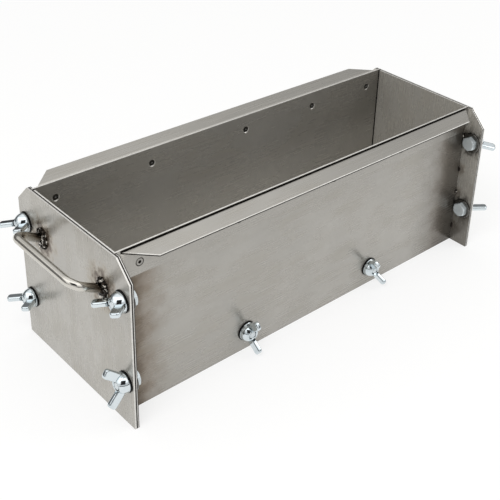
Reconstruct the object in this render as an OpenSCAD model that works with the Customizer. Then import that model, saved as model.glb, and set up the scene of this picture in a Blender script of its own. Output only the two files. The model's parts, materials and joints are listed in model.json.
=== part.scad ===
// Steel mould for casting a square concrete test beam. Millimetres, +Z up.
// Two sheet walls with riveted top angles and welded ears stand either side of a folded base tray.
// A lined end plate with a welded handle closes each end. Wing nuts on hex bolts hold it together.
// The origin is on the floor under the middle. +X runs along the beam, and the near wall is at -Y.

/* [Beam cavity] */
// Length of the cavity, between the two end liners
cavity_l = 533.4; // [450:0.1:650]
// Width of the cavity, between the two side walls
cavity_w = 152.4; // [140:0.1:180]
// Depth of the cavity, from the tray's top to the top edge of the walls
cavity_d = 152.4; // [148:0.1:170]

/* [Side walls] */
// Thickness of a side wall
wall_t = 2; // [1.8:0.1:3]
// How far the top edge of a wall stands above the end plates and the top angles
wall_proud = 1; // [0.5:0.1:2]
// How far the end plates, ears and top angles reach out from a wall
reach_out = 27; // [25:0.5:34]
// Thickness of an ear
ear_t = 2.5; // [2:0.1:3.5]

/* [End plates] */
// Thickness of an end plate
end_t = 2.5; // [2:0.1:3.5]
// Size of the 45 degree cut on the top corners of end plates and ears
corner_cut = 21; // [10:0.5:24]
// Thickness of an end liner
liner_t = 2.5; // [2:0.1:3.5]
// Gap between a liner's edge and the wall beside it
liner_gap = 1; // [0.5:0.1:2]

/* [Base tray] */
// Height of the tray's top above the floor
tray_h = 47.6; // [44:0.1:56]
// Thickness of the tray's sheet
tray_t = 3; // [2:0.1:4]
// Inside radius of the tray's folds
tray_bend_r = 1; // [0.5:0.1:2]
// Gap between the tray and a wall
tray_side_gap = 0.2; // [0.1:0.05:0.5]
// Gap between the tray and a liner
tray_end_gap = 0.3; // [0.2:0.1:1]

/* [Top angles] */
// Thickness of a top angle's sheet
angle_t = 2.5; // [2:0.1:3.5]
// Height of a top angle's upright leg
angle_h = 32; // [29:0.5:34]
// Inside radius of a top angle's fold
angle_bend_r = 1.5; // [0.5:0.1:3]
// Gap between the end of a top angle and the ear
angle_end_gap = 4; // [1:0.5:10]

/* [Rivets] */
// Diameter of a rivet's shank
rivet_d = 5; // [4:0.1:6]
// Diameter of a rivet's countersunk heads
rivet_head_d = 9.6; // [8:0.1:11]
// Depth of a countersunk head
rivet_head_h = 1.5; // [1:0.1:1.7]
// Depth that the inner head lies below the face of the wall
rivet_recess = 0.6; // [0.3:0.1:0.9]
// Diameter of the hole in the outer head, and of the stub in the inner head
rivet_core_d = 2.8; // [2:0.1:3.6]
// Depth of the hole in the outer head
rivet_core_h = 1.2; // [0.5:0.1:2]
// Height of the stub in the inner head
rivet_stub_h = 0.3; // [0.1:0.1:0.3]
// Distance of the rivets below the top of a top angle
rivet_drop = 18.5; // [14:0.5:22]
// Distance of an end rivet from the end of a top angle
rivet_end = 20; // [12:0.5:40]
// Place along the mould of the first inner rivet, from the middle
rivet_a_x = -117; // [-130:1:-90]
// Place along the mould of the second inner rivet, from the middle
rivet_b_x = 25; // [-20:1:60]
// Place along the mould of the third inner rivet, from the middle
rivet_c_x = 139; // [100:1:160]

/* [Bolts and washers] */
// Diameter of a bolt over its thread
bolt_d = 9.8; // [9:0.1:10.4]
// Length of a bolt under its head
bolt_l = 18; // [17:0.5:22]
// Width across the flats of a bolt's head
head_af = 17; // [15:0.5:18]
// Height of a bolt's head
head_h = 6.4; // [5:0.1:8]
// Diameter of a washer
washer_d = 23; // [20:0.5:24.5]
// Thickness of a washer
washer_t = 1.5; // [1.2:0.1:2]
// Gap all round a bolt in a washer
washer_gap = 0.4; // [0.2:0.1:0.6]
// Gap all round a bolt in the holes of the sheets
hole_gap = 0.6; // [0.3:0.1:1]
// Height of the lower end bolts above the floor
end_bolt_low_z = 54.5; // [35:0.5:75]
// Depth of the upper end bolts below the top of the end plates
end_bolt_drop = 45.5; // [42:0.5:60]
// Distance of a side bolt from the middle of the mould
side_bolt_x = 101; // [60:1:160]
// Height of the side bolts above the floor
side_bolt_z = 25; // [24.5:0.5:28]

/* [Wing nuts] */
// Gap all round a bolt in the bore of a wing nut
thread_gap = 0.1; // [0.05:0.01:0.1]
// Diameter of a wing nut's hub at its rim, on the washer
hub_base_d = 22.5; // [21:0.5:23]
// Height of the straight rim at the hub's foot
hub_rim_h = 1.2; // [0.5:0.1:2]
// Diameter of a wing nut's hub at its shoulder
hub_top_d = 19; // [18:0.5:21]
// Radius of the hub's rounded shoulder
hub_shoulder_r = 2.5; // [1:0.1:2.8]
// Height of a wing nut's hub
hub_h = 9.5; // [8.5:0.5:11]
// Thickness of a wing
wing_t = 4.6; // [4:0.1:6]
// Width of a wing
wing_w = 10; // [9:0.5:12]
// Length of a wing from its root in the hub to its tip
wing_l = 19; // [17:0.5:21]
// Radius of the corners of a wing's tip
wing_corner_r = 4; // [2:0.1:4.4]
// Angle at which a wing leans up from the plate
wing_lean = 50; // [44:1:60]
// Distance of a wing's root from the axis of the hub
wing_root_r = 8; // [7:0.5:9]
// Height of a wing's root above the foot of the hub
wing_root_h = 6; // [5:0.5:7]

/* [Handles] */
// Diameter of the handle's round bar
bar_d = 9.5; // [8:0.5:12]
// Distance between the axes of a handle's two legs
grip_span = 116; // [100:1:120]
// Distance of the grip's axis from the end plate
grip_out = 33; // [28:1:50]
// How far the grip's axis lies above the roots of the legs
grip_rise = 17.5; // [5:0.5:25]
// Depth of the roots of the legs below the top of the end plates
grip_root_drop = 49.5; // [44:0.5:80]
// Radius of the bends, on the bar's axis
bar_bend_r = 14; // [9:0.5:20]

/* [Welds] */
// Radius of one drop of a handle's weld
drop_r = 3.6; // [3:0.1:4]
// Half width of the ring of drops round a leg's root
bead_w = 6.8; // [6:0.1:7.5]
// Half height of the ring of drops round a leg's root
bead_h = 9.8; // [8:0.1:11]
// Height of a handle's weld where it meets the bar
bead_rise = 5; // [3:0.5:7]
// Radius of a tack weld between an ear and a wall
tack_r = 2; // [1.5:0.1:2.5]
// Length of a tack weld between an ear and a wall
tack_l = 8; // [6:0.5:12]

/* [Hidden] */
$fn = 96;
// Number of drops in the weld round a handle's leg
DROPS = 9;
// Heights of the lower tack welds above the floor
TACK_Z = [22, 74];
// Depths of the upper tack welds below the top of the ears
TACK_DROP = [89, 39];
// How far a cutting body runs past what it cuts
past = 1;
// Depth to which a wing is sunk into the hub behind its root
wing_sink = 3;
// Number of steps in the hub's rounded shoulder
SHOULDER_STEPS = 6;
// Chamfer at the tip of a bolt and at the mouths of a nut's bore
tip_chamfer = 1;

wall_y = cavity_w / 2;
wall_out_y = wall_y + wall_t;
edge_y = wall_out_y + reach_out;
wall_top = tray_h + cavity_d;
end_top = wall_top - wall_proud;
liner_x = cavity_l / 2;
ear_out_x = liner_x + liner_t;
ear_in_x = ear_out_x - ear_t;
end_out_x = ear_out_x + end_t;
angle_end_x = ear_in_x - angle_end_gap;
tray_y = wall_y - tray_side_gap;
end_bolt_y = wall_out_y + reach_out / 2;
end_seat_x = ear_in_x - washer_t;
side_seat_y = tray_y - tray_t - washer_t;
hole_r = bolt_d / 2 + hole_gap;
end_bolt_high_z = end_top - end_bolt_drop;
bolt_z = [end_bolt_low_z, end_bolt_high_z];
grip_root_z = end_top - grip_root_drop;
tack_z = concat(TACK_Z, [for (drop = TACK_DROP) end_top - drop]);
rivet_z = end_top - rivet_drop;
rivet_end_x = angle_end_x - rivet_end;
rivet_x = [-rivet_end_x, rivet_a_x, rivet_b_x, rivet_c_x, rivet_end_x];
hub_flat_d = hub_top_d - 2 * hub_shoulder_r;
grip_l = sqrt(grip_out * grip_out + grip_rise * grip_rise);
grip_tilt = atan(grip_rise / grip_out);

// Placing. The side is 1 for the far wall and -1 for the near one, the end 1 for the right end
// and -1 for the left one, and local +Z always points out of the mould.

// Turns a shape of the far wall into the near wall's mirror image where the side is -1
module for_side(side) {
    if (side < 0) mirror([0, 1, 0]) children();
    else children();
}

// Turns a shape of the right end into the left end's mirror image where the end is -1
module for_end(end) {
    if (end < 0) mirror([1, 0, 0]) children();
    else children();
}

module at_end_bolt(end, side, z, x) {
    translate([end * x, side * end_bolt_y, z]) rotate([0, end * 90, 0]) children();
}

module at_side_bolt(side, x, y) {
    translate([x, side * y, side_bolt_z]) rotate([-side * 90, 0, 0]) children();
}

// A flat outline in Y and Z, made a sheet that is t thick and starts at x
module sheet_across(x, t) {
    translate([x, 0, 0]) rotate([90, 0, 90]) linear_extrude(t) children();
}

// Sheets

module end_outline() {
    polygon([
        [-edge_y, 0], [edge_y, 0], [edge_y, end_top - corner_cut],
        [edge_y - corner_cut, end_top], [-edge_y + corner_cut, end_top],
        [-edge_y, end_top - corner_cut]
    ]);
}

module end_holes(sides) {
    for (side = sides, z = bolt_z)
        translate([side * end_bolt_y, z]) circle(hole_r);
}

module end_plate(end) {
    color("#8f8c86") for_end(end) sheet_across(ear_out_x, end_t) difference() {
        end_outline();
        end_holes([-1, 1]);
    }
}

module end_liner(end) {
    color("#86837d") for_end(end) sheet_across(liner_x, liner_t)
        translate([-wall_y + liner_gap, 0]) square([cavity_w - 2 * liner_gap, end_top]);
}

// A strip with the end plate's outline, welded to the outside of a wall
module ear(side, end) {
    color("#8a857e") for_side(side) for_end(end) sheet_across(ear_in_x, ear_t) difference() {
        intersection() {
            end_outline();
            translate([wall_out_y, 0]) square([reach_out, end_top]);
        }
        end_holes([1]);
    }
}

module side_wall(side) {
    color("#7f7b75") for_side(side) difference() {
        translate([-ear_out_x, wall_y, 0]) cube([2 * ear_out_x, wall_t, wall_top]);
        rivet_holes();
        side_bolt_holes();
    }
}

module side_bolt_holes() {
    for (x = [-side_bolt_x, side_bolt_x])
        at_side_bolt(1, x, tray_y - tray_t - past) cylinder(r = hole_r, h = tray_t + wall_t + 2 * past);
}

// A channel with its back up: a rounded outline of half width y and height h
module tray_outline(y, h, r) {
    translate([-y, 0]) square([2 * y, h - r]);
    translate([-y + r, 0]) square([2 * (y - r), h]);
    for (s = [-1, 1])
        translate([s * (y - r), h - r]) circle(r);
}

module base_tray() {
    length = cavity_l - 2 * tray_end_gap;
    color("#827f79") difference() {
        sheet_across(-length / 2, length) difference() {
            tray_outline(tray_y, tray_h, tray_bend_r + tray_t);
            translate([0, -past]) tray_outline(tray_y - tray_t, tray_h - tray_t + past, tray_bend_r);
        }
        for (side = [-1, 1])
            for_side(side) side_bolt_holes();
    }
}

// Top angles and their rivets

module angle_outline() {
    r = angle_bend_r + angle_t;
    translate([wall_out_y, end_top - angle_h]) square([angle_t, angle_h - r]);
    translate([wall_out_y + r, end_top - angle_t]) square([reach_out - r, angle_t]);
    translate([wall_out_y + r, end_top - r]) intersection() {
        difference() {
            circle(r);
            circle(angle_bend_r);
        }
        translate([-r, 0]) square(r);
    }
}

// The top angle's ends are cut at 45 degrees, seen from above
module angle_plan() {
    polygon([
        [-angle_end_x, wall_out_y], [angle_end_x, wall_out_y],
        [angle_end_x - reach_out, edge_y], [-angle_end_x + reach_out, edge_y]
    ]);
}

module top_angle(side) {
    color("#98948d") for_side(side) difference() {
        intersection() {
            sheet_across(-angle_end_x, 2 * angle_end_x) angle_outline();
            translate([0, 0, end_top - angle_h - past]) linear_extrude(angle_h + 2 * past) angle_plan();
        }
        rivet_holes();
    }
}

// Local +Z runs from the wall's inner face to the outer face of the angle's leg
module at_rivets() {
    for (x = rivet_x)
        translate([x, wall_y, rivet_z]) rotate([-90, 0, 0]) children();
}

module rivet_holes() {
    grip = wall_t + angle_t;
    at_rivets() rotate_extrude() polygon([
        [0, 0], [rivet_head_d / 2, 0], [rivet_d / 2, rivet_head_h],
        [rivet_d / 2, grip - rivet_head_h], [rivet_head_d / 2, grip], [0, grip]
    ]);
}

module rivets(side) {
    grip = wall_t + angle_t;
    slope = (rivet_head_d - rivet_d) / 2 / rivet_head_h;
    inner_r = rivet_head_d / 2 - slope * rivet_recess;
    core_r = rivet_core_d / 2;
    color("#6e6c69") for_side(side) at_rivets() rotate_extrude() polygon([
        [0, rivet_recess - rivet_stub_h], [core_r, rivet_recess - rivet_stub_h],
        [core_r, rivet_recess], [inner_r, rivet_recess], [rivet_d / 2, rivet_head_h],
        [rivet_d / 2, grip - rivet_head_h], [rivet_head_d / 2, grip], [core_r, grip],
        [core_r, grip - rivet_core_h], [0, grip - rivet_core_h]
    ]);
}

// Welds

// Tack welds in the corner between the outside of a wall and the inside of its ears
module ear_welds(side) {
    straight = tack_l - 2 * tack_r;
    color("#5b534b") for_side(side) for (end = [-1, 1], z = tack_z)
        for_end(end) translate([ear_in_x, wall_out_y, z]) intersection() {
            union() {
                cylinder(r = tack_r, h = straight, center = true);
                for (s = [-1, 1])
                    translate([0, 0, s * straight / 2]) sphere(tack_r);
            }
            translate([-tack_r - past, 0, -tack_l]) cube([tack_r + past, tack_r + past, 2 * tack_l]);
        }
}

// The weld is a fillet round the root of each leg, with a ring of drops on the plate at its foot
module handle_welds(end) {
    color("#4a423b") for_end(end) for (side = [-1, 1])
        difference() {
            translate([end_out_x, side * grip_span / 2, grip_root_z]) {
                rotate([0, 90, 0]) cylinder(r1 = bead_h, r2 = bar_d / 2, h = bead_rise);
                for (k = [0 : DROPS - 1])
                    translate([0, bead_w * sin(360 * k / DROPS), bead_h * cos(360 * k / DROPS)])
                        sphere(drop_r, $fn = 32);
            }
            translate([end_out_x - 2 * drop_r, -edge_y, 0]) cube([2 * drop_r, 2 * edge_y, end_top]);
            handle_leg(side);
        }
}

// Handles

// The handle lies in a plane that leans up from the end plate, with local +X along its legs
module in_grip_plane() {
    translate([end_out_x, 0, grip_root_z]) rotate([0, -grip_tilt, 0]) children();
}

module handle_leg(side) {
    in_grip_plane() translate([-bar_d, side * grip_span / 2, 0])
        rotate([0, 90, 0]) cylinder(d = bar_d, h = bar_d + grip_l - bar_bend_r);
}

module handle_bend(side) {
    in_grip_plane() translate([grip_l - bar_bend_r, side * (grip_span / 2 - bar_bend_r), 0])
        rotate([0, 0, side < 0 ? -90 : 0]) rotate_extrude(angle = 90)
            translate([bar_bend_r, 0]) circle(d = bar_d);
}

module handle(end) {
    color("#a19d96") for_end(end) difference() {
        union() {
            for (side = [-1, 1]) {
                handle_leg(side);
                handle_bend(side);
            }
            in_grip_plane() translate([grip_l, -grip_span / 2 + bar_bend_r, 0])
                rotate([-90, 0, 0]) cylinder(d = bar_d, h = grip_span - 2 * bar_bend_r);
        }
        translate([end_out_x - 3 * bar_d, -edge_y, 0]) cube([3 * bar_d, 2 * edge_y, end_top]);
    }
}

// Bolts, washers and wing nuts

// A hex bolt: the seat under its head is at z = 0, and its thread points up
module hex_bolt() {
    corner_r = head_af / 2 / cos(30);
    translate([0, 0, -head_h]) intersection() {
        cylinder(r = corner_r, h = head_h, $fn = 6);
        union() {
            cylinder(r1 = head_af / 2 - tip_chamfer / 4, r2 = corner_r, h = tip_chamfer);
            translate([0, 0, tip_chamfer]) cylinder(r = corner_r, h = head_h - tip_chamfer);
        }
    }
    cylinder(d = bolt_d, h = bolt_l - tip_chamfer);
    translate([0, 0, bolt_l - tip_chamfer])
        cylinder(d1 = bolt_d, d2 = bolt_d - 2 * tip_chamfer, h = tip_chamfer);
}

module washer() {
    difference() {
        cylinder(d = washer_d, h = washer_t);
        translate([0, 0, -past]) cylinder(r = bolt_d / 2 + washer_gap, h = washer_t + 2 * past);
    }
}

// One wing's outline, with the distance from the hub's axis as x and the height as y
module wing_outline() {
    inner_w = wing_w - 2 * wing_corner_r;
    translate([wing_root_r, wing_root_h]) rotate(wing_lean) {
        translate([-wing_sink, -wing_w / 2]) square([wing_sink + wing_l - wing_corner_r, wing_w]);
        translate([-wing_sink, -inner_w / 2]) square([wing_sink + wing_l, inner_w]);
        for (s = [-1, 1])
            translate([wing_l - wing_corner_r, s * inner_w / 2]) circle(wing_corner_r);
    }
}

// The hub tapers from its rim to a rounded shoulder under a flat top
module hub() {
    shoulder = [for (step = [0 : SHOULDER_STEPS]) 90 * step / SHOULDER_STEPS];
    rotate_extrude() polygon(concat(
        [[0, 0], [hub_base_d / 2, 0], [hub_base_d / 2, hub_rim_h]],
        [for (turn = shoulder)
            [hub_flat_d / 2 + hub_shoulder_r * cos(turn), hub_h - hub_shoulder_r * (1 - sin(turn))]],
        [[0, hub_h]]
    ));
}

// The wings stand clear of the hub's flat top, so that it shows as a full ring between them
module wings() {
    difference() {
        for (side = [0, 180])
            rotate([90, 0, side]) translate([0, 0, -wing_t / 2]) linear_extrude(wing_t) wing_outline();
        translate([0, 0, hub_h]) cylinder(d = hub_flat_d, h = wing_l);
    }
}

module wing_nut(turn) {
    bore_r = bolt_d / 2 + thread_gap;
    color("#c9d0d4") rotate([0, 0, turn]) difference() {
        union() {
            hub();
            wings();
        }
        translate([0, 0, -past]) cylinder(r = bore_r, h = hub_h + 2 * past);
        translate([0, 0, -past])
            cylinder(r1 = bore_r + tip_chamfer + past, r2 = bore_r, h = tip_chamfer + past);
        translate([0, 0, hub_h - tip_chamfer])
            cylinder(r1 = bore_r, r2 = bore_r + tip_chamfer + past, h = tip_chamfer + past);
    }
}

module end_bolts(end) {
    color("#aab1b6") for (side = [-1, 1], z = bolt_z)
        at_end_bolt(end, side, z, end_seat_x) hex_bolt();
}

module side_bolts(side) {
    color("#aab1b6") for (x = [-side_bolt_x, side_bolt_x])
        at_side_bolt(side, x, side_seat_y) hex_bolt();
}

module end_head_washers(end) {
    color("#7d8387") for (side = [-1, 1], z = bolt_z)
        at_end_bolt(end, side, z, end_seat_x) washer();
}

module side_head_washers(side) {
    color("#7d8387") for (x = [-side_bolt_x, side_bolt_x])
        at_side_bolt(side, x, side_seat_y) washer();
}

module end_washer(end, side, z) {
    color("#3c4043") at_end_bolt(end, side, z, end_out_x) washer();
}

module side_washer(side, x) {
    color("#3c4043") at_side_bolt(side, x, wall_out_y) washer();
}

// The turn of an end nut's wings is counted from +Y to +Z, and that of a side nut's from +X to +Z
module end_nut(end, side, z, turn) {
    at_end_bolt(end, side, z, end_out_x + washer_t) wing_nut(90 + end * turn);
}

module side_nut(side, x, turn) {
    at_side_bolt(side, x, wall_out_y + washer_t) wing_nut(-side * turn);
}

base_tray();
side_wall(-1);  // side_wall_near
side_wall(1);  // side_wall_far
top_angle(-1);  // top_angle_near
top_angle(1);  // top_angle_far
rivets(-1);  // rivets_near
rivets(1);  // rivets_far
ear(-1, -1);  // ear_near_left
ear(-1, 1);  // ear_near_right
ear(1, -1);  // ear_far_left
ear(1, 1);  // ear_far_right
ear_welds(-1);  // ear_welds_near
ear_welds(1);  // ear_welds_far
end_plate(-1);  // end_plate_left
end_plate(1);  // end_plate_right
end_liner(-1);  // end_liner_left
end_liner(1);  // end_liner_right
handle(-1);  // handle_left
handle(1);  // handle_right
handle_welds(-1);  // handle_welds_left
handle_welds(1);  // handle_welds_right
end_bolts(-1);  // end_bolts_left
end_bolts(1);  // end_bolts_right
side_bolts(-1);  // side_bolts_near
side_bolts(1);  // side_bolts_far
end_head_washers(-1);  // head_washers_left
end_head_washers(1);  // head_washers_right
side_head_washers(-1);  // head_washers_near
side_head_washers(1);  // head_washers_far
end_washer(-1, -1, end_bolt_high_z);  // washer_left_near_top
end_washer(-1, -1, end_bolt_low_z);  // washer_left_near_low
end_washer(-1, 1, end_bolt_high_z);  // washer_left_far_top
end_washer(-1, 1, end_bolt_low_z);  // washer_left_far_low
end_washer(1, -1, end_bolt_high_z);  // washer_right_near_top
end_washer(1, -1, end_bolt_low_z);  // washer_right_near_low
end_washer(1, 1, end_bolt_high_z);  // washer_right_far_top
end_washer(1, 1, end_bolt_low_z);  // washer_right_far_low
side_washer(-1, -side_bolt_x);  // washer_near_left
side_washer(-1, side_bolt_x);  // washer_near_right
side_washer(1, -side_bolt_x);  // washer_far_left
side_washer(1, side_bolt_x);  // washer_far_right
end_nut(-1, -1, end_bolt_high_z, 168);  // wing_nut_left_near_top
end_nut(-1, -1, end_bolt_low_z, 78);  // wing_nut_left_near_low
end_nut(-1, 1, end_bolt_high_z, 166);  // wing_nut_left_far_top
end_nut(-1, 1, end_bolt_low_z, 170);  // wing_nut_left_far_low
end_nut(1, -1, end_bolt_high_z, 24);  // wing_nut_right_near_top
end_nut(1, -1, end_bolt_low_z, 177);  // wing_nut_right_near_low
end_nut(1, 1, end_bolt_high_z, 40);  // wing_nut_right_far_top
end_nut(1, 1, end_bolt_low_z, 105);  // wing_nut_right_far_low
side_nut(-1, -side_bolt_x, 94);  // wing_nut_near_left
side_nut(-1, side_bolt_x, 116);  // wing_nut_near_right
side_nut(1, -side_bolt_x, 70);  // wing_nut_far_left
side_nut(1, side_bolt_x, 130);  // wing_nut_far_right
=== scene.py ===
import json
import math

import bmesh
import bpy
from mathutils import Matrix, Vector, noise

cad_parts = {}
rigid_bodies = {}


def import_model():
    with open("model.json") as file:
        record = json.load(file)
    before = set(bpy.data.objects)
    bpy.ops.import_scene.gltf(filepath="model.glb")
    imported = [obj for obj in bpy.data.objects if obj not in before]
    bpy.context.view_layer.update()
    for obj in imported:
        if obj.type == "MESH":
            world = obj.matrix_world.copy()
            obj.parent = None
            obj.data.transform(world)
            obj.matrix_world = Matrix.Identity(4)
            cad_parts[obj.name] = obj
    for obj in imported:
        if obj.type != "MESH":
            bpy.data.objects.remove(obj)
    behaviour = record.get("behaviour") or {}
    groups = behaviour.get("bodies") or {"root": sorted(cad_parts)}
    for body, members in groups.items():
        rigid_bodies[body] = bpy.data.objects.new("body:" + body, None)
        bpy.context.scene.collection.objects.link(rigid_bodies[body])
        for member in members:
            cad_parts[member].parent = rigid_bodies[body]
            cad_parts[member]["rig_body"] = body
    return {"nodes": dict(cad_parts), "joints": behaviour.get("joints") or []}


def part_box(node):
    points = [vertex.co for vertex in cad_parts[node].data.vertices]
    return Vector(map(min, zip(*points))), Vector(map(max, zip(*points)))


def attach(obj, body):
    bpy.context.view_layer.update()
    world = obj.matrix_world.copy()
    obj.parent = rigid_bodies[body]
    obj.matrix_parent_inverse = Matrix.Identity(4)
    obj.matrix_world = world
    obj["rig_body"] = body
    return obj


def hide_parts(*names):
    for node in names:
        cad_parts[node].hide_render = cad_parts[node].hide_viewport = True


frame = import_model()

# A steel mould for a concrete test beam, dressed piece by piece. Places and the sizes of marks are in
# metres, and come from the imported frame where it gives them. The sizes of bolts, washers and nuts are in
# millimetres, in each part's own frame.

MM = 0.001
NODES = frame["nodes"]
JOINTS = {joint["name"]: joint for joint in frame["joints"]}
for startup in [o for o in bpy.data.objects if "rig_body" not in o and not o.name.startswith("body:")]:
    bpy.data.objects.remove(startup)
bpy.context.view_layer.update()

# Planes that several materials need, on the far side and the right end. The mould mirrors both ways.
PLATE_LOW, PLATE_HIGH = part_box("end_plate_right")
EAR_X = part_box("ear_far_right")[0].x
WALL_OUT_Y, WALL_TOP_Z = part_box("side_wall_far")[1].yz
ANGLE_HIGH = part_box("top_angle_far")[1]

# Camera, at the photograph's view

CAMERA_PLACE = (-0.6745, -0.7323, 0.7113)
CAMERA_HEADING = 43.33
CAMERA_DROP = 27.56
CAMERA_ROLL = 2.48
CAMERA_LENS = 69.0
CAMERA_SHIFT = (-0.0642, -0.2)
CAMERA_NEAREST = 0.01


def add_camera():
    data = bpy.data.cameras.new("camera")
    data.lens = CAMERA_LENS
    data.shift_x, data.shift_y = CAMERA_SHIFT
    data.clip_start = CAMERA_NEAREST
    camera = bpy.data.objects.new("camera", data)
    bpy.context.scene.collection.objects.link(camera)
    turn = Matrix.Rotation(-math.radians(CAMERA_HEADING), 4, "Z")
    pitch = Matrix.Rotation(math.radians(90 - CAMERA_DROP), 4, "X")
    roll = Matrix.Rotation(math.radians(CAMERA_ROLL), 4, "Z")
    camera.matrix_world = Matrix.Translation(CAMERA_PLACE) @ turn @ pitch @ roll
    bpy.context.scene.camera = camera


# Shaders

AXES = {"x": (1.0, 0.0, 0.0), "y": (0.0, 1.0, 0.0), "z": (0.0, 0.0, 1.0)}
WHITE = (1.0, 1.0, 1.0)
CREVICE_SAMPLES = 6


def rgba(colour):
    return (*colour, 1.0) if isinstance(colour, tuple) and len(colour) == 3 else colour


def grey(value, warmth=0.0):
    """A grey that leans to straw as warmth grows, and to a cool blue where it is below 0."""
    red, blue = (0.45, 1.0) if warmth > 0 else (1.0, 0.45)
    return (value * (1 + warmth * red), value, value * (1 - warmth * blue))


def along(axis, ratio):
    """A stretch for noise that runs in streaks along the axis."""
    return tuple(ratio if part else 1.0 for part in AXES[axis])


class Shader:
    """The node tree of a material or a world, with short calls for the nodes that they share. A mask is
    a value that is 1 where a mark lies and 0 elsewhere."""

    def __init__(self, owner, output="ShaderNodeOutputMaterial"):
        owner.use_nodes = True
        self.owner = owner
        self.tree = owner.node_tree
        self.tree.nodes.clear()
        self.output = self.add(output)
        coords = self.add("ShaderNodeTexCoord")
        self.place = coords.outputs["Object"]
        self.normal = coords.outputs["Normal"]
        self.direction = coords.outputs["Generated"]

    def add(self, kind, **settings):
        node = self.tree.nodes.new(kind)
        for key, value in settings.items():
            setattr(node, key, value)
        return node

    def plug(self, socket, value):
        """Links an output to the socket, or sets a plain value on it."""
        if isinstance(value, bpy.types.NodeSocket):
            self.tree.links.new(value, socket)
        elif value is not None:
            socket.default_value = value

    def math(self, operation, a, b=None):
        node = self.add("ShaderNodeMath", operation=operation)
        self.plug(node.inputs[0], a)
        self.plug(node.inputs[1], b)
        return node.outputs[0]

    def chain(self, operation, values):
        """One value from several, by the same operation on each in turn."""
        total = values[0]
        for value in values[1:]:
            total = self.math(operation, total, value)
        return total

    def vector_math(self, operation, a, b=None):
        node = self.add("ShaderNodeVectorMath", operation=operation)
        self.plug(node.inputs[0], a)
        self.plug(node.inputs[1], b)
        return node.outputs["Value"] if operation in ("DISTANCE", "DOT_PRODUCT") else node.outputs[0]

    def away(self, axis):
        """Distance along the axis from the middle of the mould, either way."""
        return self.math("ABSOLUTE", self.vector_math("DOT_PRODUCT", self.place, AXES[axis]))

    def facing(self, axis):
        """1 where the surface faces along the axis, either way, and 0 where it lies along it."""
        return self.math("ABSOLUTE", self.vector_math("DOT_PRODUCT", self.normal, AXES[axis]))

    def past(self, axis, at):
        """1 farther along the axis than the plane at that distance from the middle, either way."""
        return self.math("GREATER_THAN", self.away(axis), at)

    def within(self, axis, at):
        """1 nearer the middle than the plane at that distance along the axis, either way."""
        return self.math("LESS_THAN", self.away(axis), at)

    def inverse(self, mask):
        """1 where the mask is 0, and 0 where it is 1."""
        return self.math("SUBTRACT", 1.0, mask)

    def span(self, value, low, high, to_low=0.0, to_high=1.0):
        """Maps a value from low..high to to_low..to_high with soft ends."""
        node = self.add("ShaderNodeMapRange", interpolation_type="SMOOTHSTEP")
        for socket, number in zip(node.inputs, (value, low, high, to_low, to_high)):
            self.plug(socket, number)
        return node.outputs[0]

    def noise(self, scale, stretch=(1, 1, 1), detail=3.0, rough=0.55, shift=(0, 0, 0), warp=0.0):
        """Fractal noise with scale patches in a metre, squeezed along each axis by stretch."""
        mapping = self.add("ShaderNodeMapping")
        self.plug(mapping.inputs["Vector"], self.place)
        mapping.inputs["Scale"].default_value = stretch
        mapping.inputs["Location"].default_value = shift
        texture = self.add("ShaderNodeTexNoise")
        self.plug(texture.inputs["Vector"], mapping.outputs[0])
        texture.inputs["Scale"].default_value = scale
        texture.inputs["Detail"].default_value = detail
        texture.inputs["Roughness"].default_value = rough
        texture.inputs["Distortion"].default_value = warp
        return texture.outputs["Fac"]

    def mix(self, factor, a, b):
        node = self.add("ShaderNodeMix", data_type="RGBA")
        colours = [socket for socket in node.inputs if socket.type == "RGBA"]
        self.plug(node.inputs["Factor"], factor)
        self.plug(colours[0], rgba(a))
        self.plug(colours[1], rgba(b))
        return [socket for socket in node.outputs if socket.type == "RGBA"][0]

    def bump(self, height, depth, normal=None):
        """Relief of that depth in metres, from a height of 0 to 1."""
        node = self.add("ShaderNodeBump")
        node.inputs["Distance"].default_value = depth
        self.plug(node.inputs["Height"], height)
        self.plug(node.inputs["Normal"], normal)
        return node.outputs[0]

    def blend(self, factor, a, b):
        node = self.add("ShaderNodeMixShader")
        for socket, value in zip(node.inputs, (factor, a, b)):
            self.plug(socket, value)
        return node.outputs[0]

    def crevice(self, reach):
        """1 deep in a crevice, from how much of the space within reach is blocked."""
        open_space = self.add("ShaderNodeAmbientOcclusion", samples=CREVICE_SAMPLES)
        open_space.inputs["Distance"].default_value = reach
        return self.span(open_space.outputs["AO"], 0.55, 0.2, 0, 0.95)

    def surface(self, shader):
        """Ends the node tree with the shader, and gives back the material or world."""
        self.tree.links.new(shader, self.output.inputs["Surface"])
        return self.owner

    def metal(self, colour, rough, normal=None, metallic=1.0):
        """The finished metal, from sockets or plain values."""
        node = self.add("ShaderNodeBsdfPrincipled")
        node.inputs["Metallic"].default_value = metallic
        self.plug(node.inputs["Base Color"], rgba(colour))
        self.plug(node.inputs["Roughness"], rough)
        self.plug(node.inputs["Normal"], normal)
        return self.surface(node.outputs[0])


# Sheet steel. A surface within SKIN of a plane counts as lying on it.

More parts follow.
